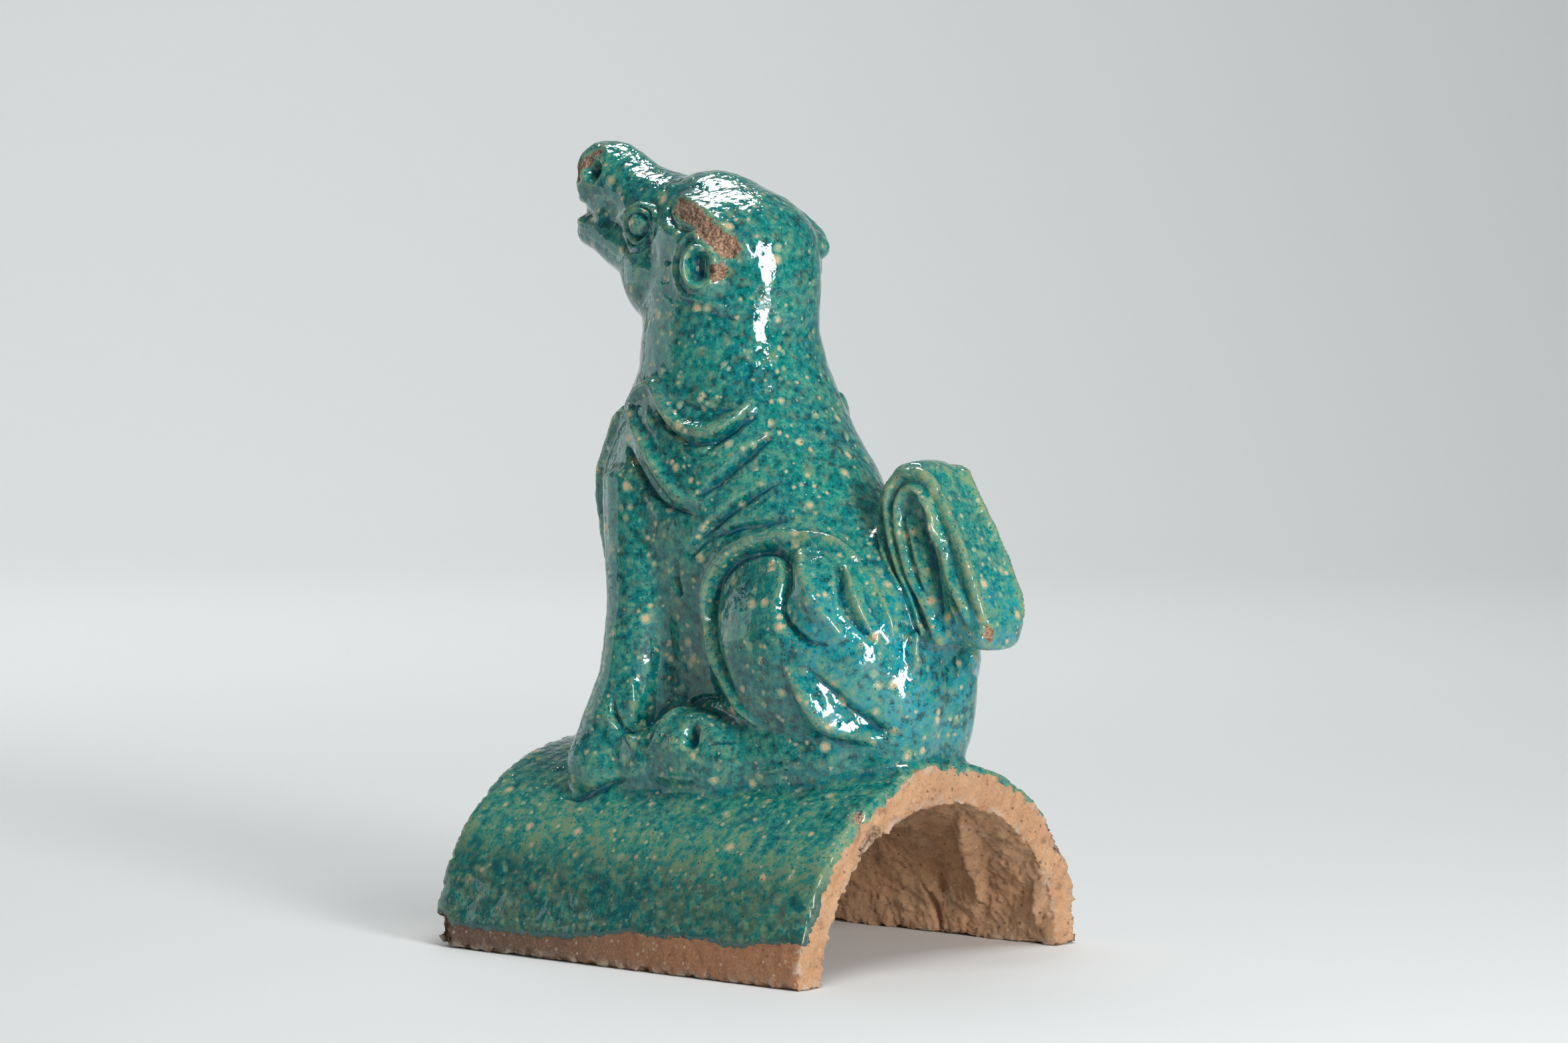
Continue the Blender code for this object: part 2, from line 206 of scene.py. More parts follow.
def add_flank(bm, side):
    add_limb(bm, (
        (place(side * 26, -33, 102), 16, 18),
        (place(side * 30, -31, 78), 14, 16),
        (place(side * 34, -29.5, 52), 12, 13),
        (place(side * 37, -31.5, 28), 11, 12),
        (place(side * 41, -36.5, 8), 11, 13.5),
        (on_tile(side * 44, -39, 7), 11, 14),
    ))
    add_ball(bm, on_tile(side * 47, -38, 6), (10.5, 14, 12), turn=(0, side * 25, 0))
    add_ball(bm, place(side * 22, -20, 20), (13, 27, 55))
    add_ball(bm, place(side * 24, 41, 43), (26, 38, 41), turn=(-8, 0, 0))
    add_ball(bm, place(side * 20, 50, 37), (27, 33, 37), turn=(-8, 0, 0))
    add_ball(bm, place(side * 13, 58, 38), (27, 27, 35), turn=(-14, 0, 0))
    add_ball(bm, place(side * 20, 29, 2), (24, 44, 27))
    add_ball(bm, place(side * 9, 66, 25), (24, 23.5, 41))
    add_ball(bm, on_tile(side * 40, -18, 2), (12, 18, 17), turn=(0, side * 25, 0))
    add_ball(bm, on_tile(side * 37, 4, 4), (15, 28, 22), turn=(0, side * 25, 0))


def add_tail(bm):
    rings = []
    for x, shrink in TAIL_ROUNDING:
        ring = []
        for outline_point in TAIL_OUTLINE:
            away = Vector(outline_point) - TAIL_MIDDLE
            y, z = TAIL_MIDDLE + away * (1 - shrink / away.length)
            ring.append(place(x, y, z))
        rings.append(ring)
    add_rings(bm, rings)


def add_barrel(bm, half_width, rise, half_length, drop):
    """A solid half barrel along Y with straight sides that go on for drop below its springing."""
    outline = [(half_width, -drop)]
    for i in range(1, BARREL_STEPS):
        angle = math.pi * i / BARREL_STEPS
        outline.append((half_width * math.cos(angle), rise * math.sin(angle)))
    outline.append((-half_width, -drop))
    add_rings(bm, [[Vector((x, y, z)) for x, z in outline] for y in (-half_length, half_length)])


def object_from(bm, name):
    bmesh.ops.recalc_face_normals(bm, faces=bm.faces)
    mesh = bpy.data.meshes.new(name)
    bm.to_mesh(mesh)
    bm.free()
    obj = bpy.data.objects.new(name, mesh)
    bpy.context.scene.collection.objects.link(obj)
    return obj


def apply_modifiers(obj):
    graph = bpy.context.evaluated_depsgraph_get()
    mesh = bpy.data.meshes.new_from_object(obj.evaluated_get(graph))
    obj.modifiers.clear()
    old = obj.data
    obj.data = mesh
    bpy.data.meshes.remove(old)


def fuse(obj, voxel, smoothing):
    remesh = obj.modifiers.new("fuse", "REMESH")
    remesh.mode = "VOXEL"
    remesh.voxel_size = voxel
    soften = obj.modifiers.new("soften", "SMOOTH")
    soften.factor = 0.5
    soften.iterations = smoothing
    apply_modifiers(obj)


def box_cutter(name, low, high):
    bm = bmesh.new()
    low, high = Vector(low), Vector(high)
    bmesh.ops.create_cube(
        bm, size=1.0, matrix=Matrix.Translation((low + high) / 2) @ Matrix.Diagonal(high - low).to_4x4())
    return object_from(bm, name)


def cut_tile(obj):
    """Hollows the tile and saws its ends and its long edges flat."""
    wide = DRAWN_TILE_WIDTH / 2 + SAW_REACH
    end = DRAWN_TILE_LENGTH / 2
    long = end + SAW_REACH
    top = DRAWN_TILE_RISE + END_SPARE
    cutters = [
        box_cutter("bed", (-wide, -long, -SAW_REACH), (wide, long, 0.0)),
        box_cutter("front_end", (-wide, -long, -SAW_REACH), (wide, -end, top)),
        box_cutter("rear_end", (-wide, end, -SAW_REACH), (wide, long, top)),
    ]
    bm = bmesh.new()
    half_width = DRAWN_TILE_WIDTH / 2 - DRAWN_TILE_WALL
    add_barrel(bm, half_width, DRAWN_TILE_RISE - DRAWN_TILE_WALL, long, SAW_REACH)
    cutters.append(object_from(bm, "hollow"))
    for cutter in cutters:
        cut = obj.modifiers.new(cutter.name, "BOOLEAN")
        cut.operation = "DIFFERENCE"
        cut.solver = "EXACT"
        cut.object = cutter
    apply_modifiers(obj)
    for cutter in cutters:
        bpy.data.objects.remove(cutter, do_unlink=True)


def fine_form():
    """The figure on its tile in drawn millimetres, one closed skin."""
    bm = bmesh.new()
    add_stack(bm, TORSO)
    add_head(bm)
    for side in (-1, 1):
        add_flank(bm, side)
        add_ear(bm, side)
    add_tail(bm)
    add_barrel(bm, DRAWN_TILE_WIDTH / 2, DRAWN_TILE_RISE, DRAWN_TILE_LENGTH / 2 + END_SPARE, END_SPARE)
    obj = object_from(bm, "glazed_ridge_beast")
    fuse(obj, FORM_VOXEL, FORM_SMOOTHING)
    cut_tile(obj)
    fuse(obj, FINE_VOXEL, FINE_SMOOTHING)
    return obj


def ring(x, y, z, radius, tall=1.0, steps=12):
    """A closed path on the flank, tall times as high as it is long."""
    turns = [2 * math.pi * i / steps for i in range(steps + 1)]
    return tuple((x, y + radius * math.cos(turn), z + tall * radius * math.sin(turn)) for turn in turns)


# Carving: brush radius, height over the skin and the path's points on the left flank.
STROKES = {
    "haunch rim": (3.8, 3.8, (
        (44, 34, 14), (47, 22, 28), (45, 13, 40), (42, 8, 52), (42, 9, 63), (42, 15, 72), (41, 24, 79),
        (38, 36, 83), (33, 47, 83), (28, 58, 80), (24, 68, 74))),
    "haunch groove": (3.2, -3.6, (
        (45, 31, 19), (46, 22, 31), (43, 15, 44), (39, 12, 55), (38, 15, 66), (37, 22, 73),
        (36, 31, 76), (36, 40, 75.5), (40, 47, 72), (44, 50, 65), (45, 49, 57), (45, 54, 50),
        (44, 60, 46), (42, 67, 45))),
    "haunch lobe": (9.0, 6.0, ((37, 50, 77), (41, 54, 71), (43, 59, 63), (43, 65, 56), (41, 71, 50))),
    "second groove": (2.8, -4.0, (
        (33, 61, 75), (33, 65, 69), (36, 68, 62), (36, 72, 56), (34, 77, 51), (32, 81, 47))),
    "second bead": (2.2, 2.4, ((31, 66, 73), (34, 71, 66), (35, 77, 58), (33, 81, 51))),
    "third groove": (2.0, -1.6, ((27, 71, 70), (30, 78, 61), (30, 83, 53))),
    "third bead": (2.2, 1.6, ((22, 72, 72), (26, 79, 65), (26, 85, 55), (26, 87, 47))),
    "shin": (7.0, 4.4, (
        (49, 54, 36), (48, 58, 28), (45, 61, 21), (41, 65, 15), (34, 70, 12), (29, 77, 11))),
    "under thigh": (4.4, -3.2, ((46, 61, 36), (42, 68, 28), (35, 73, 20), (28, 80, 14), (22, 85, 12))),
    "hind foot rim": (4.5, 1.6, (
        (51, -10, 2), (51, -6, 8), (46, -4, 14), (38, -2, 18), (36, 6, 20), (38, 14, 20), (44, 24, 18))),
    "hind foot crease": (1.8, -1.8, (
        (51, -12, 3), (50, -8, 10), (40, -7, 17), (35, -1, 20.5), (36, 8, 22), (38, 15, 22))),
    "hind toe pit": (4.6, -6.1, ((50.3, 10, 10.5), (51, 10.6, 7))),
    "hind toe bump": (6.0, 2.6, ((50.5, 3, 9), (52, 3, 4))),
    "hind toe slit": (2.0, -3.0, ((50, 18, 6.5), (48, 22.5, 7.4), (45, 27, 7.5))),
    "foot streak": (1.6, 0.9, ((51, -10, -7.4), (52, 1, -6.3), (51, 12, -6.6))),
    "thigh streak": (1.6, 0.9, ((43, 36, -3.5), (42, 45, -1), (41, 51, 1.6))),
    "toe streak": (1.4, 0.8, ((53, -4, 4), (52, -4, 8), (50, -1, 12.6))),
    "fetlock": (6.0, 3.8, ((46, -23.5, 26), (46.5, -22.5, 19), (45, -22.5, 12.5))),
    "ankle": (2.4, -3.4, (
        (49, -30, 20.5), (49, -29, 14), (47.5, -26, 8.5), (46, -21, 6.5), (44, -17, 9), (40, -17, 16))),
    "paw ridge": (2.2, 1.4, ((50, -42, 11), (51, -33, 13), (49.5, -27, 10), (51, -19, 5), (52.5, -16, 0))),
    "paw groove": (2.6, -2.8, ((55, -50, -17.5), (56, -37, -15.6), (54, -28.5, -12.8), (52, -22, -9.5))),
    "upper ribbon": (4.2, 3.0, (
        (29, -42, 127), (33, -31, 134), (37, -24, 136), (39, -20, 133), (40, -16, 129), (41, -11, 124),
        (42, -4, 121), (41, 4, 120.5), (38, 10, 122), (33, 15.5, 126), (25, 18, 132))),
    "under upper ribbon": (2.0, -3.0, (
        (40, -19, 128), (42, -13, 122), (41.5, -6, 117), (40, 1, 115.5), (38, 7, 116.5),
        (35, 13, 120.5), (29, 18, 126))),
    "over upper ribbon": (1.6, -1.6, ((37, -8, 131), (34.7, -2, 128), (33.6, 6, 127.3), (31.5, 14, 128))),
    "lower ribbon": (4.0, 3.0, (
        (33, -37, 128), (37, -31, 121), (41, -24, 114), (43.5, -18, 108), (44, -12, 102), (43.5, -5, 96.5),
        (42, 1, 94.5), (41, 7, 93.5))),
    "under lower ribbon": (2.0, -3.0, (
        (36, -34, 113), (38, -27, 106), (40, -19, 98), (42, -12, 92.5), (44, -4, 90.5), (42, 3, 89.5))),
    "lock": (2.0, 1.6, ((36.5, -24, 127), (38.5, -21, 122.5), (39, -17, 118))),
    "neck groove": (2.6, -2.6, ((39, 4, 110.5), (35, 8, 115), (31, 14, 120), (25, 20, 127))),
    "shoulder groove": (3.8, -4.2, (
        (41, 4, 96), (38.5, 10, 100), (34, 16, 106), (29, 21, 112), (24, 26, 118))),
    "flank groove": (3.6, -4.0, ((42, 3, 79), (41, 12, 86), (38, 18, 91), (33, 25, 96.5), (27, 32, 101))),
    "over haunch": (2.8, -2.6, ((42, 2, 74), (40, 9, 80), (41, 22, 85), (38, 31, 87), (30, 42, 90))),
    "recess": (5.5, -5.5, ((40, -6, 71), (41, -7, 66), (40, -5, 60))),
    "chest rim": (3.2, 3.2, (
        (27, -44, 127), (22, -52, 118), (20.5, -60, 100), (20, -63, 84), (26, -56, 64), (34, -47, 44),
        (39, -44, 24))),
    "chest groove": (2.2, -2.2, (
        (30, -38, 122), (27, -48, 112), (26, -57, 96), (28, -55, 78), (34, -47, 58), (40, -42, 36))),
    "tail outer bead": (2.7, 3.0, (
        (20, 92, 35), (18, 91, 44), (15, 87, 53), (13, 82, 61), (12, 77, 71), (12, 73, 83),
        (12, 71, 93), (12, 72, 100), (12, 76, 105), (12, 83, 106.5), (12, 90, 105), (12, 96, 101),
        (12, 101, 92), (12, 104, 83), (12, 107, 75), (12, 111, 64), (12, 115, 55))),
    "tail inner bead": (2.7, 3.0, (
        (19, 96, 36), (17, 95, 45), (14, 91, 55), (12, 85, 64), (12, 81, 71), (12, 78, 80),
        (12, 76, 87), (12, 76, 95), (12, 79, 100), (12, 83, 101), (12, 87, 98.5), (12, 90, 93.5),
        (12, 92.5, 88), (12, 97, 79), (12, 100.5, 68), (12, 105, 61), (12, 108, 53))),
    "tail hollow": (3.6, -3.2, ((12, 86, 92), (12, 89, 82), (12, 92, 70), (12, 96, 56))),
    "tail middle strand": (1.6, 1.8, ((12, 80, 91), (12, 83, 81), (12, 86, 72), (12, 89, 64))),
    "tail rear strand": (1.6, 1.8, (
        (12, 84, 97), (12, 88, 97), (12, 92, 92), (12, 94, 81), (12, 98, 69), (12, 103, 54))),
    "tail front strand": (1.6, 1.6, (
        (12, 71, 104), (12, 67, 97), (12, 67, 84), (13, 72, 71), (14, 77, 61))),
    "eyeball": (5.0, 1.4, ((23, -43.6, 195),)),
    "eye groove": (1.4, -1.8, ring(22, -43.6, 195, 5.2)),
    "eye inner ring": (1.4, 1.1, ring(22, -43.6, 195, 6.6)),
    "eye ring groove": (1.1, -1.2, ring(21, -43.6, 195, 7.8)),
    "eye outer ring": (1.5, 1.0, ring(21, -43.6, 195, 9.0)),
    "eye outline": (2.0, -0.8, ring(20, -43.6, 195, 10.8)),
    "nostril": (5.4, -6.5, ((11.5, -74, 215.5),)),
    "nostril rim": (1.8, 0.7, ring(11.5, -74, 215.5, 5.8)),
    "ear hole": (7.0, -11.0, ((37, 0, 178), (36.7, -0.3, 182))),
    "ear cup groove": (1.3, -1.1, ring(34, -3.5, 180, 8.2, 1.3)),
    "ear shell": (1.7, 1.6, (
        (29, -3, 193), (29.5, -11, 191.5), (30, -17.5, 182), (32, -13, 171), (33, -2, 166.5),
        (28, 6, 166))),
    "under ear": (1.8, -1.4, ((30, -4, 163), (27, 3, 162), (24, 9, 160))),
    "brow": (2.2, -1.8, (
        (19, -29, 203), (22, -25, 198.5), (24.5, -21, 195), (27.5, -15, 193.5), (28.5, -8, 193.5))),
    "mouth": (1.8, -1.4, ((5, -86, 200.3), (9, -79, 199.8), (12, -74, 198))),
    "lower lip": (2.6, 1.2, ((4, -92, 196), (8, -84, 196.5), (12, -76, 194.5))),
    "upper lip": (2.4, 0.8, ((4, -93, 204), (9, -84, 203), (12, -77, 202.5))),
}
CARVE_STEP = 1.0
# Strokes deeper than this are bored straight in along one direction, and don't taper.
BORED_DEPTH = 6.0
# The others thin out to END_SIZE over their last END_TAPER brush radii.
END_TAPER = 3.0
END_SIZE = 0.35

# Noise: plane waves in each octave, their height and spread of lengths, and how an octave fades on the last.
WAVES = 20
WAVE_HEIGHT = 0.09
WAVE_SPREAD = (0.6, 1.3)
WAVE_FADE = 0.6

# Layers of noise on the surface: grain in millimetres, octaves and seed.
WOBBLE = (9.0, 3, 3)
ROUGH = (4.0, 4, 11)
CRUMB = (2.4, 3, 13)
GLAZE_SWELL = (12.0, 2, 1)
GLAZE_RIPPLE = (4.6, 2, 5)
CLAY_LUMPS = (11.0, 3, 7)
EDGE_NIBBLES = (7.0, 3, 23)
HAND_PRESSED = (26.0, 3, 17)

# Millimetres: the coat of glaze, its thicker lower edge, and what wear and nibbles take from an edge.
COAT_HEIGHT = 0.35
DRIP_HEIGHT = 0.3
WEAR_DEPTH = 0.5
NIBBLE_DEPTH = 2.2


def curve_through(points):
    """Points at about CARVE_STEP along a smooth curve through the given ones."""
    if len(points) == 1:
        return list(points)
    found = []
    for i in range(len(points) - 1):
        before, start = points[max(i - 1, 0)], points[i]
        end, after = points[i + 1], points[min(i + 2, len(points) - 1)]
        count = max(1, round((end - start).length / CARVE_STEP))
        for k in range(count):
            t = k / count
            found.append(0.5 * (
                2 * start + (end - before) * t + (2 * before - 5 * start + 4 * end - after) * t * t
                + (3 * start - before - 3 * end + after) * t ** 3))
    found.append(points[-1])
    return found


def positions(mesh):
    spots = np.empty(len(mesh.vertices) * 3)
    mesh.vertices.foreach_get("co", spots)
    return spots.reshape(-1, 3)


def normals(mesh):
    outward = np.empty(len(mesh.vertices) * 3)
    mesh.vertex_normals.foreach_get("vector", outward)
    return outward.reshape(-1, 3)


def move(mesh, spots):
    mesh.vertices.foreach_set("co", spots.ravel())
    mesh.update()


def near_line(spots, line, reach, tapers):
    """Distance of each spot from a line in brush radii, and the brush's size there."""
    share = np.ones(len(spots))
    size = np.ones(len(spots))
    picked = np.flatnonzero(
        np.all(spots > line.min(axis=0) - reach, axis=1) & np.all(spots < line.max(axis=0) + reach, axis=1))
    local = spots[picked]
    near, full_size = share[picked], size[picked]
    for i, point in enumerate(line):
        full = 1.0
        if tapers and len(line) > 1:
            end = min(i, len(line) - 1 - i) * CARVE_STEP
            full = min(1.0, END_SIZE + (1 - END_SIZE) * end / (END_TAPER * reach))
        away = np.sqrt(((local - point) ** 2).sum(axis=1)) / (reach * full)
        nearer = away < near
        near[nearer] = away[nearer]
        full_size[nearer] = full
    share[picked] = near
    size[picked] = full_size
    return share, size


def brush(share):
    """The brush's profile: 1 at its path and 0 at its radius."""
    return 0.5 + 0.5 * np.cos(math.pi * share)


def carve(obj):
    """Raises or sinks the skin along each stroke, on both flanks."""
    skin = BVHTree.FromObject(obj, bpy.context.evaluated_depsgraph_get())
    spots, outward = positions(obj.data), normals(obj.data)
    shift = np.zeros_like(spots)
    for radius, height, path in STROKES.values():
        bored = height < -BORED_DEPTH
        for side in (-1, 1):
            drawn = curve_through([place(side * x, y, z) for x, y, z in path])
            found = [skin.find_nearest(point) for point in drawn]
            share, size = near_line(spots, np.array([spot for spot, *_ in found]), radius, not bored)
            push = height * size * brush(share)
            way = np.mean([normal for _, normal, *_ in found], axis=0) if bored else outward
            shift += push[:, None] * way
    move(obj.data, spots + shift)


def fractal(spots, grain, octaves, seed):
    """Noise of about -1 to 1 from plane waves, with its largest lumps grain millimetres apart."""
    random = np.random.default_rng(seed)
    total = np.zeros(len(spots))
    for octave in range(octaves):
        ways = random.normal(size=(3, WAVES))
        spread = random.uniform(*WAVE_SPREAD, WAVES)
        ways *= 2 * math.pi * 2 ** octave / grain * spread / np.linalg.norm(ways, axis=0)
        phases = random.uniform(0, 2 * math.pi, WAVES)
        total += WAVE_HEIGHT * WAVE_FADE ** octave * np.cos(spots @ ways + phases).sum(axis=1)
    return total


def neighbour_mean(values, edges, times):
    """The values softened by those of each vertex's neighbours, as many times as told."""
    count = np.maximum(np.bincount(edges.ravel(), minlength=len(values)), 1)
    for _ in range(times):
        total = np.stack([
            np.bincount(edges[:, 0], weights=values[edges[:, 1], axis], minlength=len(values))
            + np.bincount(edges[:, 1], weights=values[edges[:, 0], axis], minlength=len(values))
            for axis in range(values.shape[1])], axis=1)
        values = 0.5 * values + 0.5 * total / count[:, None]
    return values


def smoothstep(value, low, high):
    share = np.clip((value - low) / (high - low), 0.0, 1.0)
    return share * share * (3 - 2 * share)


# Broken places: brush radius, depth and path, with x positive on the left flank.
BREAKS = {
    "ear flap scar": (3.9, 1.0, (
        (25, -19, 202), (26, -12, 199.5), (27.5, -5, 195.5), (28.5, 2, 190.5), (27.9, 8, 186))),
    "ear chip": (2.6, 0.8, ((33, 5, 178.2), (31, 7, 176.6), (29, 8, 178.2))),
    "nose rim chip": (2.0, 0.6, (
        (8.5, -74, 222), (10, -77, 219.8), (10.7, -80.5, 216.5), (10.4, -83, 213.5))),
    "tail corner nick": (1.8, 0.6, ((9, 117, 47), (11, 116, 52))),
    "front corner": (7.0, 3.0, ((84, -89, -74), (84, -87, -68))),
    "bed chip": (2.6, 1.8, ((84, 14.8, -74),)),
    "small bed chip": (2.0, 1.2, ((84, 35, -74),)),
    "rear bed chip": (2.2, 1.4, ((84, 46, -74),)),
    "front bed chip": (2.4, 1.5, ((84, -58, -74),)),
    "rim chip": (2.6, 1.6, ((50, 88, -14),)),
    "inner rim chip": (3.4, 2.2, ((46, 88, -27), (40, 88, -22))),
    "far rim chip": (3.0, 1.8, ((-68, 88, -30), (-72, 88, -38))),
    "far foot chip": (4.0, 2.4, ((-83, 88, -60), (-84, 88, -70))),
}

# Distance from a break's edge that counts as none, in millimetres.
UNBROKEN = 9.0
# Rounds of smoothing that the fine and the wide relief are measured from.
RELIEF_STEPS = (25, 120)
# The largest value that a kept field may have, either way.
FIELD_LIMIT = 20.0
# The left eyeball's middle, and the reach of its grain.
EYE = (22, -42.5, 195.5)
EYE_RADIUS = 4.5

# Marks of the potter's hand inside the tile, on its right wall: brush radius, height and path.
INSIDE_MARKS = {
    "finger ridge": (7.0, 6.0, (
        (-34, 70.5, -22.6), (-47, 62, -30.6), (-58, 57, -42), (-63, 56, -50), (-66, 54.6, -57))),
    "pressed hollow": (16.0, -7.0, ((-59, 36, -44), (-65, 35, -55))),
    "bulge": (14.0, 5.4, ((-45, 40, -30), (-38, 20, -26))),
    "clay lump": (5.5, 5.0, ((-68, 14, -63), (-68.5, 20, -66))),
    "lump crease": (2.6, -3.4, ((-66, 27, -55), (-68, 31, -64), (-68.8, 33, -73))),
    "end step": (6.0, 3.4, ((-63, 83, -50), (-68, 80, -64))),
    "crack": (1.8, -2.6, ((-32, 74, -21), (-36, 70, -23), (-40, 69, -26))),
    "front hollow": (15.0, -3.6, ((-62, -20, -48), (-64, -40, -52))),
}


# Height over the bed of the glaze's lower edge on each flank, and how it climbs along the left one.
GLAZE_LEFT = 11.5
GLAZE_RIGHT = 37.0
GLAZE_CLIMB = 0.055


def glaze_line(spots):
    """Height of the glaze's lower edge: it hangs in waves, low on the left flank and high on the right."""
    along = spots[:, 1]
    waves = 2.6 * np.sin(along / 15.0 + 0.6) + 0.9 * np.sin(along / 6.1 + 2.0)
    left = GLAZE_LEFT + GLAZE_CLIMB * along + 0.5 * waves
    return np.where(spots[:, 0] > 0, left, GLAZE_RIGHT + 1.4 * waves)


def tile_fields(spots):
    """Millimetres from the ends, and below the tile's outer surface."""
    end = DRAWN_TILE_LENGTH / 2 - np.abs(spots[:, 1])
    radius = np.sqrt((spots[:, 0] / (DRAWN_TILE_WIDTH / 2)) ** 2 + (spots[:, 2] / DRAWN_TILE_RISE) ** 2)
    depth = (1.0 - radius) * (DRAWN_TILE_WIDTH / 2 + DRAWN_TILE_RISE) / 2
    return end, depth


WEAR_REACH = 2.2


def edge_wear(spots, end, depth):
    """How near each spot is to one of the tile's sawn edges, 1 on the edge."""
    inner_depth = depth - DRAWN_TILE_WALL
    bed = spots[:, 2]
    pairs = ((end, depth), (end, inner_depth), (bed, depth), (bed, inner_depth), (bed, end))
    nearest = np.min([np.hypot(one, other) for one, other in pairs], axis=0)
    return np.exp(-(nearest / WEAR_REACH) ** 2) * (depth > -2.5)


def near_drawn(spots, skin, radius, path, tapers):
    """As near_line, for a drawn path that is laid on the skin."""
    line = curve_through([place(*point) for point in path])
    on_skin = np.array([skin.find_nearest(point)[0] for point in line])
    return near_line(spots, on_skin, radius, tapers)


def break_places(spots, skin, rough, crumb):
    """Each spot's distance from the nearest break's edge, negative inside it, and how far it sinks there."""
    nearest = np.full(len(spots), UNBROKEN)
    sink = np.zeros(len(spots))
    for radius, depth, path in BREAKS.values():
        share, _ = near_drawn(spots, skin, radius * 2, path, False)
        away = (share * 2 - 1) * radius + 1.3 * rough
        nearest = np.minimum(nearest, away)
        sink += smoothstep(-away, 0.0, 1.2) * (depth + 0.9 * crumb)
    return nearest, sink


def hand_marks(spots, skin):
    height = np.zeros(len(spots))
    for radius, raised, path in INSIDE_MARKS.values():
        share, size = near_drawn(spots, skin, radius, path, True)
        height += raised * size * brush(share)
    return height


def glaze_lap(angle, ragged):
    """How far the glaze laps over a sawn end, by the angle round the tile: bare at the crown."""
    near = 4.2 * smoothstep(angle, -5.0, 12.0)
    crown = 5.4 * np.exp(-((angle - 80) / 10.0) ** 2)
    far = 1.8 * smoothstep(angle, 88.0, 100.0) + 4.5 * smoothstep(angle, 128.0, 150.0)
    return near - crown - far + (0.9 + 0.9 * (angle > 90)) * ragged


def eye_grain(spots):
    """1 on the two eyeballs and 0 away from them."""
    x, y, z = place(*EYE)
    away = np.hypot(np.hypot(np.abs(spots[:, 0]) - x, spots[:, 1] - y), spots[:, 2] - z)
    return np.exp(-(away / EYE_RADIUS) ** 4)


def finish_surface(obj):
    """Glaze thickness, lumps, chips and clay texture, and the fields that the material reads."""
    mesh = obj.data
    skin = BVHTree.FromObject(obj, bpy.context.evaluated_depsgraph_get())
    spots, outward = positions(mesh), normals(mesh)
    edges = np.empty(len(mesh.edges) * 2, dtype=np.int64)
    mesh.edges.foreach_get("vertices", edges)
    edges = edges.reshape(-1, 2)

    end, depth = tile_fields(spots)
    angle = np.degrees(np.arctan2(spots[:, 2], spots[:, 0]))
    wobble, rough, crumb = fractal(spots, *WOBBLE), fractal(spots, *ROUGH), fractal(spots, *CRUMB)
    rim = glaze_lap(angle, 1.6 * wobble + rough) + np.clip(end, 0.0, 4.0) - np.maximum(depth, -8.0)
    bottom = spots[:, 2] - glaze_line(spots) - 1.2 * wobble
    broken, sink = break_places(spots, skin, rough, crumb)
    glazed = np.minimum(np.minimum(rim, bottom), broken)

    coat = smoothstep(glazed, -0.3, 0.9)
    drip = np.exp(-((glazed - 1.4) / 1.1) ** 2) * (bottom < 5) * (end > 4.0)
    inside = smoothstep(depth, 4.0, 9.0) * smoothstep(end, 0.2, 2.0)
    sawn = smoothstep(end, 1.2, 0.2) * (depth > -1.0)
    wear = edge_wear(spots, end, depth) * (1.0 - 0.45 * coat)
    glaze_lumps = 0.30 * fractal(spots, *GLAZE_SWELL) + 0.06 * fractal(spots, *GLAZE_RIPPLE)
    clay_grain = (0.22 + 0.55 * sawn) * rough + (0.12 + 0.5 * sawn) * crumb
    clay_lumps = 0.4 * fractal(spots, *CLAY_LUMPS)
    pressed = 1.5 * fractal(spots, *HAND_PRESSED) + 0.45 * rough + 0.25 * crumb
    nibbles = np.maximum(0.0, fractal(spots, *EDGE_NIBBLES) + 0.05)

    push = hand_marks(spots, skin) - sink
    push -= wear * (WEAR_DEPTH + NIBBLE_DEPTH * nibbles)
    push += coat * (COAT_HEIGHT + DRIP_HEIGHT * drip + glaze_lumps)
    push += (1 - coat) * (clay_grain + clay_lumps) + inside * pressed
    push += 0.5 * crumb * eye_grain(spots)
    moved = spots + outward * push[:, None]
    moved[:, 2] = np.maximum(moved[:, 2], 0.0)
    move(mesh, moved)

    outward = normals(mesh)
    relief, wide = (
        ((moved - neighbour_mean(moved, edges, times)) * outward).sum(axis=1) for times in RELIEF_STEPS)
    keep_fields(obj, {
        "glazed_mm": glazed, "broken_mm": broken, "relief_mm": relief, "wide_relief_mm": wide,
        "inside": inside, "wear": wear, "sawn": sawn})
    obj.data.shade_smooth()


def keep_fields(obj, fields):
    """Thins the mesh where it is plain, and gives each kept vertex the fields of the spot it came from."""
    tree = KDTree(len(obj.data.vertices))
    for i, vertex in enumerate(obj.data.vertices):
        tree.insert(vertex.co, i)
    tree.balance()
    reduce = obj.modifiers.new("reduce", "DECIMATE")
    reduce.ratio = min(1.0, TRIANGLES_KEPT / (2 * len(obj.data.polygons)))
    apply_modifiers(obj)
    nearest = [tree.find(vertex.co)[1] for vertex in obj.data.vertices]
    for name, values in fields.items():
        layer = obj.data.attributes.new(name, "FLOAT", "POINT")
        layer.data.foreach_set("value", np.clip(values[nearest], -FIELD_LIMIT, FIELD_LIMIT))


def fit_to(obj, low, high):
    """Lays the drawn shape into the frame's box, from end to end."""
    spots = positions(obj.data)
    lowest, highest = spots.min(axis=0), spots.max(axis=0)
    share = (spots - lowest) / (highest - lowest)
    move(obj.data, np.array(low) + share * (np.array(high) - np.array(low)))


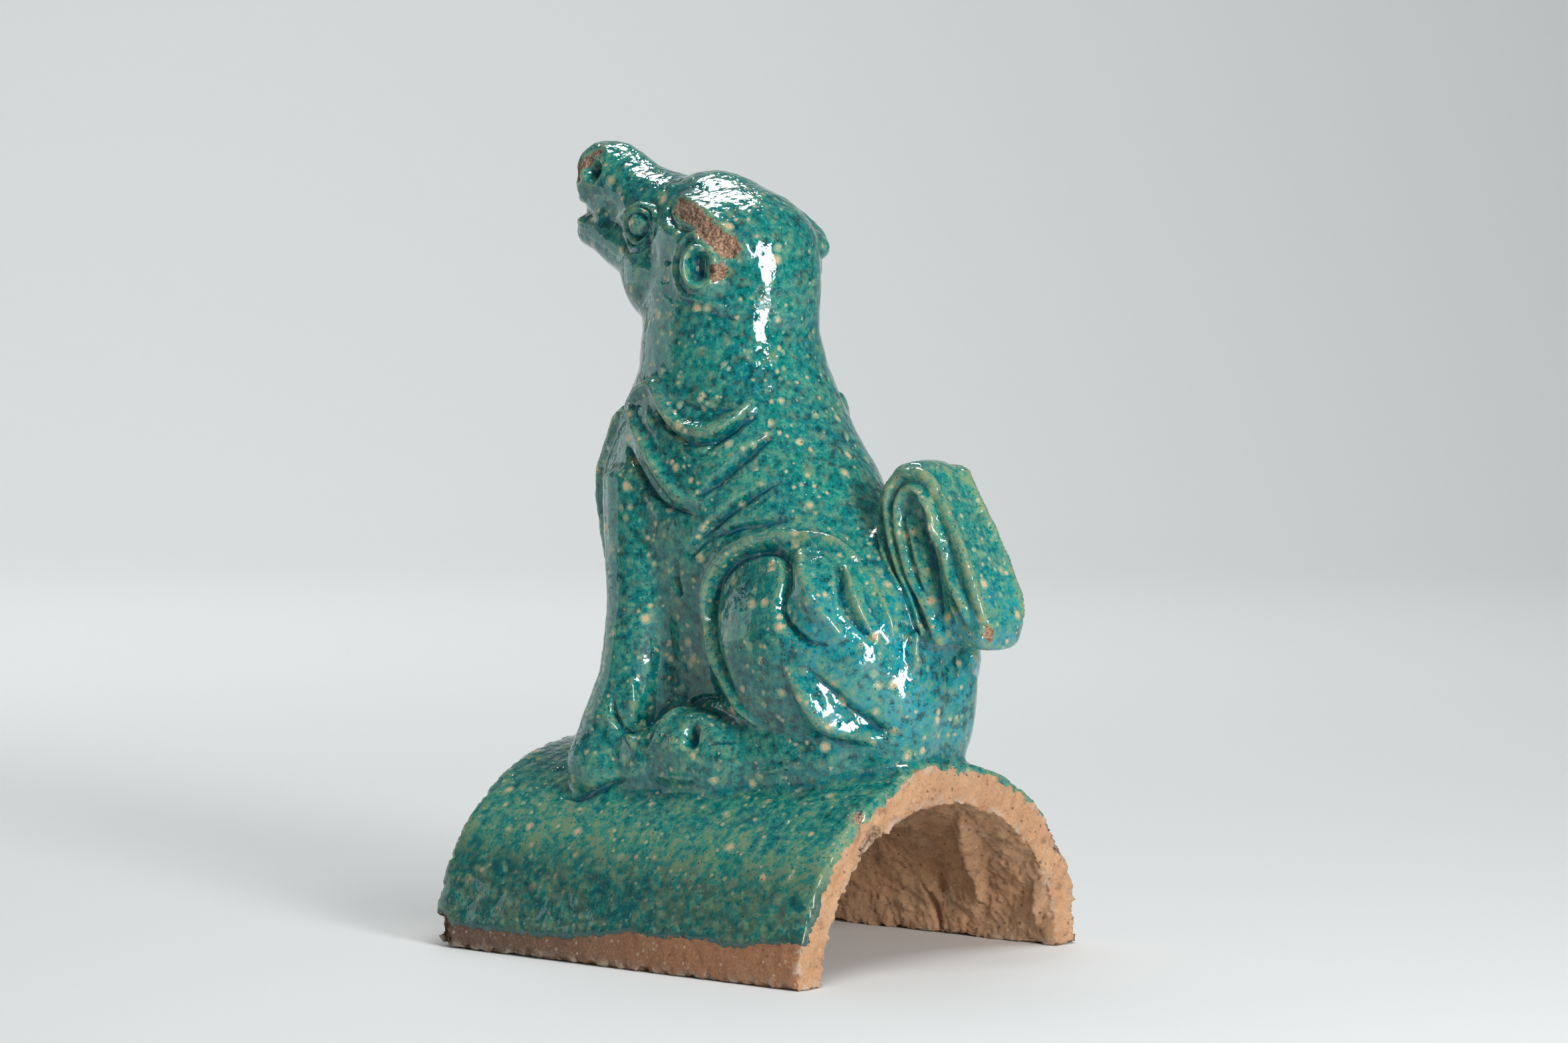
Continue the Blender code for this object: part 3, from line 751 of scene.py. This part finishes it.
class Nodes:
    """Short calls for a material's node tree."""

    def __init__(self, material):
        material.use_nodes = True
        self.tree = material.node_tree
        self.shader = self.tree.nodes["Principled BSDF"]

    def add(self, kind, inputs, **settings):
        found = self.tree.nodes.new(kind)
        for name, value in settings.items():
            setattr(found, name, value)
        for name, value in inputs.items():
            self.put(found.inputs[name], value)
        return found

    def put(self, socket, value):
        if isinstance(value, bpy.types.NodeSocket):
            self.tree.links.new(value, socket)
        else:
            socket.default_value = value

    def attribute(self, name):
        return self.add("ShaderNodeAttribute", {}, attribute_name=name).outputs["Fac"]

    def noise(self, where, scale, detail=4.0, rough=0.55):
        inputs = {"Vector": where, "Scale": scale, "Detail": detail, "Roughness": rough}
        return self.add("ShaderNodeTexNoise", inputs).outputs["Fac"]

    def stretched(self, where, along_z):
        inputs = {0: where, 1: (1, 1, along_z)}
        return self.add("ShaderNodeVectorMath", inputs, operation="MULTIPLY").outputs[0]

    def jittered(self, where, scale, amount):
        """A place moved by noise, amount metres from end to end in each direction."""
        noise = self.add("ShaderNodeTexNoise", {"Vector": where, "Scale": scale, "Detail": 2.0})
        shift = self.add(
            "ShaderNodeVectorMath", {0: noise.outputs["Color"], 1: (0.5,) * 3}, operation="SUBTRACT")
        inputs = {0: shift.outputs[0], 1: (amount,) * 3, 2: where}
        return self.add("ShaderNodeVectorMath", inputs, operation="MULTIPLY_ADD").outputs[0]

    def cells(self, where, scale):
        """Distance from the nearest cell's middle, and each cell's own three random values."""
        found = self.add("ShaderNodeTexVoronoi", {"Vector": where, "Scale": scale}).outputs
        chance = self.add("ShaderNodeSeparateColor", {"Color": found["Color"]}).outputs
        return found["Distance"], chance

    def math(self, operation, a, b=0.0):
        return self.add("ShaderNodeMath", {0: a, 1: b}, operation=operation).outputs[0]

    def total(self, first, *others):
        for other in others:
            first = self.math("ADD", first, other)
        return first

    def product(self, first, *others):
        for other in others:
            first = self.math("MULTIPLY", first, other)
        return first

    def centred(self, value, amount):
        """A noise of 0 to 1 as one of amount from end to end, about zero."""
        return self.product(self.math("SUBTRACT", value, 0.5), amount)

    def span(self, value, low, high, to_low=0.0, to_high=1.0):
        return self.add("ShaderNodeMapRange", {
            "Value": value, "From Min": low, "From Max": high, "To Min": to_low, "To Max": to_high},
            interpolation_type="SMOOTHSTEP").outputs["Result"]

    def mix(self, share, a, b):
        found = self.tree.nodes.new("ShaderNodeMix")
        found.data_type = "RGBA"
        self.put(found.inputs[0], share)
        self.put(found.inputs[6], a)
        self.put(found.inputs[7], b)
        return found.outputs[2]

    def mix_value(self, share, a, b):
        found = self.tree.nodes.new("ShaderNodeMix")
        self.put(found.inputs[0], share)
        self.put(found.inputs[2], a)
        self.put(found.inputs[3], b)
        return found.outputs[0]


DEEP_TEAL = (0.0, 0.045, 0.052, 1)
TEAL = (0.0, 0.165, 0.152, 1)
BLUE = (0.0, 0.110, 0.160, 1)
SAGE = (0.045, 0.265, 0.190, 1)
KHAKI = (0.20, 0.28, 0.15, 1)
TAN = (0.30, 0.24, 0.12, 1)
HALO = (0.24, 0.36, 0.23, 1)
LIGHT_BLUE = (0.0, 0.240, 0.300, 1)
SPOT = (0.62, 0.41, 0.24, 1)
SPECK = (0.012, 0.018, 0.014, 1)
CLAY = (0.46, 0.19, 0.078, 1)
CLAY_PALE = (0.70, 0.42, 0.235, 1)
CLAY_BROWN = (0.13, 0.075, 0.050, 1)
FRACTURE = (0.62, 0.41, 0.27, 1)
DUST = (0.66, 0.58, 0.47, 1)


# Spots in the glaze: cells to the metre, the least chance that makes one, its reach, halo and strength.
SPOTS = (
    (165, 0.40, 0.33, 0.8, 0.9),
    (340, 0.55, 0.36, 0.5, 0.7),
)
GLAZE_IOR = 1.6


def glaze_thinness(n, where, along, height, lifted):
    """About 0.6 where the glaze pools and 1 where it runs thin."""
    on_tile = n.span(height, 0.078, 0.060)
    on_tail = n.product(n.span(along, 0.048, 0.060), n.span(height, 0.120, 0.135))
    streaks = n.noise(n.stretched(where, 0.45), 150, 4, 0.6)
    return n.total(
        n.product(n.noise(where, 330, 5, 0.62), 0.95),
        n.product(n.noise(where, 1100, 3, 0.6), 0.35),
        n.product(n.noise(where, 45, 3), 0.25),
        lifted,
        n.product(n.span(height, 0.075, 0.035), 0.17),
        n.centred(streaks, n.span(on_tile, 0.0, 1.0, 0.1, 0.5)),
        n.product(on_tail, 0.07))


def add_spots(n, where, colour):
    """Ragged tan spots with pale halos, and small dark specks."""
    bent = n.jittered(where, 700, 0.0012)
    ragged = n.centred(n.noise(where, 1300, 3), 0.8)
    for scale, least, reach, halo, strength in SPOTS:
        distance, chance = n.cells(bent, scale)
        size = n.total(n.span(chance[0], least, 1.0, 0.0, reach), 0.001)
        ratio = n.total(n.math("DIVIDE", distance, size), ragged)
        colour = n.mix(n.span(ratio, 1.35, 0.85, 0.0, halo), colour, HALO)
        colour = n.mix(n.span(ratio, 0.82, 0.52, 0.0, strength), colour, SPOT)
    distance, chance = n.cells(where, 700)
    dark = n.product(n.span(distance, 0.34, 0.18), n.span(chance[1], 0.80, 0.84))
    return n.mix(n.product(dark, 0.8), colour, SPECK)


def glaze_colour(n, where, along, height, relief, wide):
    """Turquoise that pools deep in hollows and thins to sage on ridges."""
    raised = n.total(n.product(relief, 0.07), n.product(wide, 0.02))
    lifted = n.math("MINIMUM", raised, 0.10)
    thin = glaze_thinness(n, where, along, height, lifted)
    colour = n.mix(n.span(n.noise(where, 60, 2), 0.45, 0.62, 0.0, 0.35), TEAL, BLUE)
    behind = n.product(
        n.span(along, 0.025, 0.055), n.span(height, 0.072, 0.088), n.span(height, 0.155, 0.130))
    patches = n.span(n.noise(where, 90, 3), 0.35, 0.6, 0.3, 1.0)
    colour = n.mix(n.product(behind, patches), colour, LIGHT_BLUE)
    colour = n.mix(n.span(thin, 0.76, 0.66, 0.0, 0.85), colour, DEEP_TEAL)
    colour = n.mix(n.span(thin, 0.80, 0.90, 0.0, 0.8), colour, SAGE)
    colour = n.mix(n.span(thin, 0.92, 1.02, 0.0, 0.85), colour, KHAKI)
    colour = n.mix(n.span(raised, -0.015, -0.085, 0.0, 0.9), colour, BLUE)
    bare = n.total(lifted, n.centred(n.noise(where, 900, 4, 0.7), 0.55))
    colour = n.mix(n.span(bare, 0.07, 0.14, 0.0, 0.5), colour, TAN)
    return add_spots(n, where, colour), thin


def clay_colour(n, where, along, inside, broken, wear, sawn):
    """Sandy terracotta, browner inside, with pale grit, a few dark pits and painted shade on the outer clay
    towards the front end.
    """
    grain = n.noise(where, 1000, 6, 0.75)
    cut_or_inside = n.math("MAXIMUM", sawn, inside)
    pale = n.total(n.span(n.noise(where, 55, 4), 0.42, 0.66, 0.0, 0.4), n.product(cut_or_inside, 0.6))
    colour = n.mix(pale, CLAY, CLAY_PALE)
    # Painted shade: clay brown mixed into the outer bare clay, away from the sawn ends and the hollow,
    # stronger towards the tile's front end.
    painted_shade = n.product(n.span(along, 0.05, -0.08, 0.25, 0.95), n.span(sawn, 0.6, 0.1))
    colour = n.mix(n.product(painted_shade, n.span(inside, 0.8, 0.2)), colour, CLAY_BROWN)
    colour = n.mix(n.span(grain, 0.50, 0.70, 0.0, 0.5), colour, CLAY_PALE)
    colour = n.mix(n.span(grain, 0.47, 0.32, 0.0, 0.65), colour, CLAY_BROWN)
    smoky = n.span(n.noise(where, 70, 3), 0.4, 0.62, 0.0, 0.25)
    colour = n.mix(n.product(inside, smoky), colour, CLAY_BROWN)
    colour = n.mix(n.span(n.noise(where, 130, 5, 0.7), 0.56, 0.70, 0.0, 0.5), colour, CLAY_BROWN)
    distance, chance = n.cells(where, 420)
    grit = n.product(n.span(distance, 0.34, 0.14), n.span(chance[0], 0.80, 0.84))
    colour = n.mix(n.product(grit, 0.45), colour, DUST)
    pits = n.product(n.span(distance, 0.36, 0.18), n.span(chance[1], 0.84, 0.88))
    colour = n.mix(n.product(pits, 0.75), colour, CLAY_BROWN)
    fracture = n.mix(n.span(grain, 0.42, 0.6), CLAY_BROWN, FRACTURE)
    colour = n.mix(n.span(broken, 0.6, -0.2, 0.0, 0.75), colour, fracture)
    worn = n.product(wear, n.span(n.noise(where, 240, 4), 0.42, 0.62))
    return n.mix(n.product(worn, 0.6), colour, DUST)


def glaze_bump(n, where, height):
    """Orange peel and pinholes, with broad crinkles where the glaze lies on an upper side."""
    normal = n.add("ShaderNodeNewGeometry", {}).outputs["Normal"]
    facing_up = n.add("ShaderNodeSeparateXYZ", {"Vector": normal}).outputs[2]
    peel = n.product(n.noise(where, 260, 2, 0.4), 0.35)
    crinkle = n.product(
        n.noise(where, 330, 2, 0.35),
        n.span(facing_up, 0.10, 0.55, 0.25, 1.5),
        n.span(height, 0.055, 0.085, 0.3, 1.0))
    distance, _ = n.cells(where, 380)
    return n.total(peel, crinkle, n.product(n.span(distance, 0.22, 0.05), -0.12))


def fired_glaze():
    material = bpy.data.materials.new("glaze_on_terracotta")
    n = Nodes(material)
    where = n.add("ShaderNodeTexCoord", {}).outputs["Object"]
    _, along, height = n.add("ShaderNodeSeparateXYZ", {"Vector": where}).outputs
    glazed_mm, broken = n.attribute("glazed_mm"), n.attribute("broken_mm")
    relief, wide = n.attribute("relief_mm"), n.attribute("wide_relief_mm")
    inside, wear, sawn = n.attribute("inside"), n.attribute("wear"), n.attribute("sawn")
    ragged = n.total(glazed_mm, n.centred(n.noise(where, 500, 4), 2.2))
    coat = n.span(ragged, -0.12, 0.12)

    glaze, thin = glaze_colour(n, where, along, height, relief, wide)
    pool = n.product(n.span(ragged, 3.5, 0.8), n.span(height, 0.05, 0.03))
    glaze = n.mix(n.product(pool, 0.8), glaze, DEEP_TEAL)
    rim = n.product(n.span(ragged, 2.2, 0.3), n.span(height, 0.03, 0.05))
    glaze = n.mix(n.product(rim, n.span(n.noise(where, 300, 3), 0.35, 0.6, 0.1, 0.75)), glaze, KHAKI)
    clay = clay_colour(n, where, along, inside, broken, wear, sawn)
    n.put(n.shader.inputs["Base Color"], n.mix(coat, clay, glaze))

    clay_rough = n.span(n.noise(where, 800, 4), 0.3, 0.7, 0.75, 0.95)
    rubbed = n.total(relief, n.product(n.noise(where, 120, 3), 1.2))
    glaze_rough = n.total(n.span(thin, 0.80, 1.0, 0.045, 0.11), n.span(rubbed, 0.6, 1.6, 0.0, 0.10))
    n.put(n.shader.inputs["Roughness"], n.mix_value(coat, clay_rough, glaze_rough))

    sand = n.product(n.noise(where, 900, 8, 0.8), 2.6)
    surface = n.mix_value(coat, sand, glaze_bump(n, where, height))
    bump = n.add("ShaderNodeBump", {"Height": surface, "Strength": 0.6, "Distance": 0.0009})
    n.put(n.shader.inputs["Normal"], bump.outputs["Normal"])
    n.shader.inputs["IOR"].default_value = GLAZE_IOR
    return material


PAPER = (0.80, 0.82, 0.82, 1)
PAPER_SHADED = (0.768, 0.7872, 0.7872, 1)
PAPER_ROUGHNESS = 0.75


def studio_paper():
    """Pale paper with a hardly visible cloudiness."""
    material = bpy.data.materials.new("paper")
    n = Nodes(material)
    where = n.add("ShaderNodeTexCoord", {}).outputs["Object"]
    shade = n.span(n.noise(where, 3, 2), 0.3, 0.7, 0.985, 1.0)
    n.put(n.shader.inputs["Base Color"], n.mix(shade, PAPER_SHADED, PAPER))
    n.shader.inputs["Roughness"].default_value = PAPER_ROUGHNESS
    return material


def view_axes(yaw, pitch, roll):
    """A view's own directions to the right, up and forward."""
    forward = Vector((math.cos(pitch) * math.cos(yaw), math.cos(pitch) * math.sin(yaw), math.sin(pitch)))
    right = Vector((math.sin(yaw), -math.cos(yaw), 0))
    up = right.cross(forward)
    across = right * math.cos(roll) + up * math.sin(roll)
    over = up * math.cos(roll) - right * math.sin(roll)
    return across, over, forward


# The camera's turns in radians, and its place in metres from the tile's middle on the bed.
CAMERA_YAW = -2.453
CAMERA_PITCH = -0.061
CAMERA_ROLL = 0.005
CAMERA_OFFSET = Vector((1.5213, 1.2640, 0.2793))
FOCAL_PIXELS = 8000
IMAGE_WIDTH = 2357
SENSOR_WIDTH = 36.0


def add_camera(tile_middle):
    across, over, forward = view_axes(CAMERA_YAW, CAMERA_PITCH, CAMERA_ROLL)
    data = bpy.data.cameras.new("camera")
    camera = bpy.data.objects.new("camera", data)
    bpy.context.scene.collection.objects.link(camera)
    matrix = Matrix((across, over, -forward)).transposed().to_4x4()
    matrix.translation = CAMERA_OFFSET + Vector((0, tile_middle, 0))
    camera.matrix_world = matrix
    data.sensor_width = SENSOR_WIDTH
    data.lens = SENSOR_WIDTH * FOCAL_PIXELS / IMAGE_WIDTH
    data.clip_end = 50
    bpy.context.scene.camera = camera


WHITE = (1.0, 1.0, 1.0)
COOL = (0.84, 1.0, 0.97)
WORLD_COLOUR = (0.84, 0.90, 0.92, 1)
WORLD_STRENGTH = 0.16
# Height in metres of the point that the lights are turned to.
LIT_HEIGHT = 0.14


def add_softbox(name, target, turn, elevation, distance, size, power, colour=WHITE, mirrored=True, lit=True):
    """A rectangular light, turned to the camera's right about the target and raised, both in degrees."""
    heading = CAMERA_YAW + math.pi + math.radians(turn)
    level = math.cos(math.radians(elevation))
    away = Vector((math.cos(heading) * level, math.sin(heading) * level, math.sin(math.radians(elevation))))
    data = bpy.data.lights.new(name, "AREA")
    data.shape = "RECTANGLE"
    data.size, data.size_y = size
    data.energy = power
    data.color = colour
    light = bpy.data.objects.new(name, data)
    light.location = target + away * distance
    light.rotation_euler = away.to_track_quat("Z", "Y").to_euler()
    light.visible_camera = False
    light.visible_glossy = mirrored
    light.visible_diffuse = lit
    bpy.context.scene.collection.objects.link(light)


# The stage in metres: half its width, its flat rows towards the back, and the bend up to the wall's top.
STAGE_HALF_WIDTH = 6.0
FLOOR_ROWS = (-6.0, -1.0, 2.0)
BEND_RADIUS = 1.5
BEND_STEPS = 16
WALL_TOP = 5.0


def add_stage():
    """A pale floor that sweeps up behind the object without a corner."""
    across, _, forward = view_axes(CAMERA_YAW, 0.0, 0.0)
    bm = bmesh.new()
    profile = [(row, 0.0) for row in FLOOR_ROWS]
    for i in range(1, BEND_STEPS + 1):
        angle = math.pi / 2 * i / BEND_STEPS
        reach = FLOOR_ROWS[-1] + BEND_RADIUS * math.sin(angle)
        profile.append((reach, BEND_RADIUS * (1 - math.cos(angle))))
    profile.append((FLOOR_ROWS[-1] + BEND_RADIUS, WALL_TOP))
    rows = []
    for distance, height in profile:
        middle = forward * distance + Vector((0, 0, height))
        rows.append([bm.verts.new(middle + across * side) for side in (-STAGE_HALF_WIDTH, STAGE_HALF_WIDTH)])
    for low, high in zip(rows, rows[1:]):
        bm.faces.new((low[0], high[0], high[1], low[1]))
    floor = object_from(bm, "studio_floor")
    floor.data.shade_smooth()
    floor.data.materials.append(studio_paper())


def light_studio(target):
    world = bpy.data.worlds.new("studio")
    bpy.context.scene.world = world
    world.use_nodes = True
    background = world.node_tree.nodes["Background"]
    background.inputs["Color"].default_value = WORLD_COLOUR
    background.inputs["Strength"].default_value = WORLD_STRENGTH
    add_softbox("key", target, turn=34, elevation=12, distance=1.6, size=(0.40, 0.92), power=22)
    add_softbox(
        "top_back", target, turn=-170, elevation=66, distance=1.5, size=(0.72, 0.60), power=20, lit=False)
    add_softbox(
        "top_fill", target, turn=28, elevation=70, distance=1.9, size=(0.9, 0.9), power=19, mirrored=False)
    add_softbox(
        "left_panel", target, turn=-112, elevation=6, distance=1.4, size=(1.4, 0.5), power=2.4, colour=COOL)
    across, _, forward = view_axes(CAMERA_YAW, 0.0, 0.0)
    wall = target + forward * 2.5 - across * 0.7
    add_softbox(
        "backdrop", wall, turn=0, elevation=55, distance=1.9, size=(2.4, 1.2), power=27, mirrored=False)


def main():
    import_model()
    bpy.context.scene.view_settings.view_transform = "Standard"
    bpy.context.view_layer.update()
    low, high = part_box(NODE)
    obj = fine_form()
    carve(obj)
    finish_surface(obj)
    fit_to(obj, low, high)
    obj.data.materials.clear()
    obj.data.materials.append(fired_glaze())
    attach(obj, "root")
    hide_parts(NODE)
    tile_middle = low[1] + DRAWN_TILE_LENGTH * MM / 2
    add_stage()
    light_studio(Vector((0, tile_middle, LIT_HEIGHT)))
    add_camera(tile_middle)


main()
